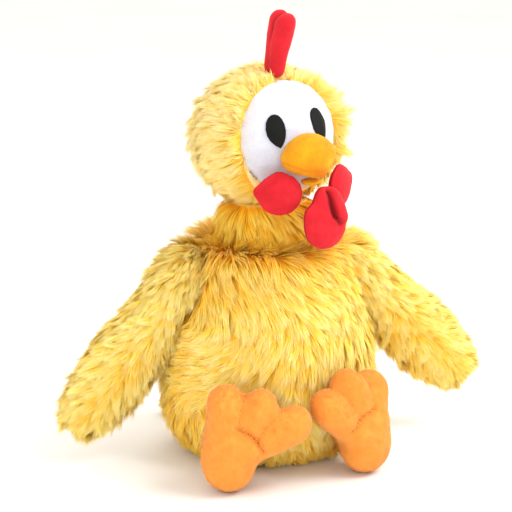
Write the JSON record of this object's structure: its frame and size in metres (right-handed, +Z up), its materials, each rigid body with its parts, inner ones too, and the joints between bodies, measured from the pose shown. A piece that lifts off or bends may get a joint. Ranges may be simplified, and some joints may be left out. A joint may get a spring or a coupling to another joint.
{
  "type": "stuffed fur chicken",
  "caption": "Seated stuffed chicken in long yellow fur with a white face, padded beak, red wattles and comb, wings and big orange feet.",
  "frame": {"origin": "centre of the flat seat, on the surface that the chicken sits on", "axes": "+Z up, the chicken faces -Y, its left wing at +X"},
  "size_m": [0.3349, 0.2156, 0.3461],
  "materials": {
    "fur_yellow": "matte",
    "fur_gold": "matte",
    "fleece_white": "matte",
    "felt_black": "matte",
    "plush_gold": "matte",
    "plush_red": "matte",
    "plush_orange": "matte",
    "base_cloth": "matte",
    "stuffing": "matte",
    "pellets": "matte"
  },
  "bodies": {
    "body": {"body_front_left_panel": "fur_yellow", "body_front_right_panel": "fur_yellow", "body_back_left_panel": "fur_yellow", "body_back_right_panel": "fur_yellow", "base_panel": "base_cloth", "body_stuffing": "stuffing", "pellet_bag": "pellets"},
    "neck": {"neck_left_panel": "fur_gold", "neck_right_panel": "fur_gold", "neck_stuffing": "stuffing"},
    "head": {"head_left_panel": "fur_yellow", "head_right_panel": "fur_yellow", "head_back_panel": "fur_yellow", "face_panel": "fleece_white", "head_stuffing": "stuffing", "eye_left": "felt_black", "eye_right": "felt_black", "beak_upper": "plush_gold", "beak_stuffing": "stuffing"},
    "lower_beak": {"lower_beak": "plush_gold"},
    "cheek_wattle_left": {"cheek_wattle_left_front": "plush_red", "cheek_wattle_left_back": "plush_red", "cheek_wattle_left_stuffing": "stuffing"},
    "cheek_wattle_right": {"cheek_wattle_right_front": "plush_red", "cheek_wattle_right_back": "plush_red", "cheek_wattle_right_stuffing": "stuffing"},
    "centre_wattle": {"centre_wattle_front": "plush_red", "centre_wattle_back": "plush_red", "centre_wattle_stuffing": "stuffing"},
    "comb": {"comb_left": "plush_red", "comb_right": "plush_red", "comb_stuffing": "stuffing"},
    "wing_left": {"wing_left_outer_panel": "fur_yellow", "wing_left_inner_panel": "fur_yellow", "wing_left_stuffing": "stuffing"},
    "wing_right": {"wing_right_outer_panel": "fur_yellow", "wing_right_inner_panel": "fur_yellow", "wing_right_stuffing": "stuffing"},
    "leg_left": {"leg_left_cover": "plush_orange", "leg_left_stuffing": "stuffing"},
    "leg_right": {"leg_right_cover": "plush_orange", "leg_right_stuffing": "stuffing"},
    "foot_left": {"foot_left_sole": "plush_orange", "foot_left_upper": "plush_orange", "foot_left_stuffing": "stuffing"},
    "foot_right": {"foot_right_sole": "plush_orange", "foot_right_upper": "plush_orange", "foot_right_stuffing": "stuffing"},
    "tail": {"tail_top": "fur_yellow", "tail_bottom": "fur_yellow", "tail_stuffing": "stuffing"}
  },
  "joints": [
    {"name": "neck_nod", "type": "hinge", "parent": "body", "child": "neck", "pos_m": [0, 0, 0.178], "axis": [1, 0, 0], "range_deg": [-14, 5]},
    {"name": "head_turn", "type": "hinge", "parent": "neck", "child": "head", "pos_m": [0, 0, 0.20215], "axis": [0, 0, 1], "range_deg": [-25, 25]},
    {"name": "beak_open", "type": "hinge", "parent": "head", "child": "lower_beak", "pos_m": [0.01418, -0.0459, 0.22306], "axis": [0.9636, 0.2582, 0.0698], "range_deg": [0, 5], "stiffness_Nm_per_rad": 0.003},
    {"name": "cheek_wattle_left_swing", "type": "hinge", "parent": "head", "child": "cheek_wattle_left", "pos_m": [0.04286, -0.04141, 0.2331], "axis": [-0.7051, -0.7066, -0.0604], "range_deg": [0, 20]},
    {"name": "cheek_wattle_right_swing", "type": "hinge", "parent": "head", "child": "cheek_wattle_right", "pos_m": [-0.00924, -0.05784, 0.23329], "axis": [-0.9827, 0.1742, -0.0632], "range_deg": [0, 20]},
    {"name": "centre_wattle_swing", "type": "hinge", "parent": "head", "child": "centre_wattle", "pos_m": [0.02238, -0.06751, 0.21841], "axis": [-0.9636, -0.2582, -0.0698], "range_deg": [-3, 45]},
    {"name": "comb_flop", "type": "hinge", "parent": "head", "child": "comb", "pos_m": [0.00012, -0.01446, 0.30087], "axis": [-0.2666, 0.9481, 0.1732], "range_deg": [-30, 30], "stiffness_Nm_per_rad": 0.006},
    {"name": "wing_left_lift", "type": "hinge", "parent": "body", "child": "wing_left", "pos_m": [0.062, 0, 0.147], "axis": [-0.0698, -0.9976, 0], "range_deg": [0, 75]},
    {"name": "wing_right_lift", "type": "hinge", "parent": "body", "child": "wing_right", "pos_m": [-0.062, 0, 0.147], "axis": [-0.0698, 0.9976, 0], "range_deg": [0, 75]},
    {"name": "leg_left_splay", "type": "hinge", "parent": "body", "child": "leg_left", "pos_m": [0.041, -0.054, 0.028], "axis": [0, 0, 1], "range_deg": [0, 18]},
    {"name": "leg_right_splay", "type": "hinge", "parent": "body", "child": "leg_right", "pos_m": [-0.045, -0.054, 0.028], "axis": [0, 0, -1], "range_deg": [0, 18]},
    {"name": "foot_left_tip", "type": "hinge", "parent": "leg_left", "child": "foot_left", "pos_m": [0.04849, -0.07254, 0.028], "axis": [0.9272, 0.3746, 0], "range_deg": [0, 25]},
    {"name": "foot_right_tip", "type": "hinge", "parent": "leg_right", "child": "foot_right", "pos_m": [-0.05348, -0.08173, 0.028], "axis": [0.9563, -0.2924, 0], "range_deg": [0, 25]},
    {"name": "tail_lift", "type": "hinge", "parent": "body", "child": "tail", "pos_m": [0, 0.061, 0.0066], "axis": [1, 0, 0], "range_deg": [0, 20]}
  ]
}
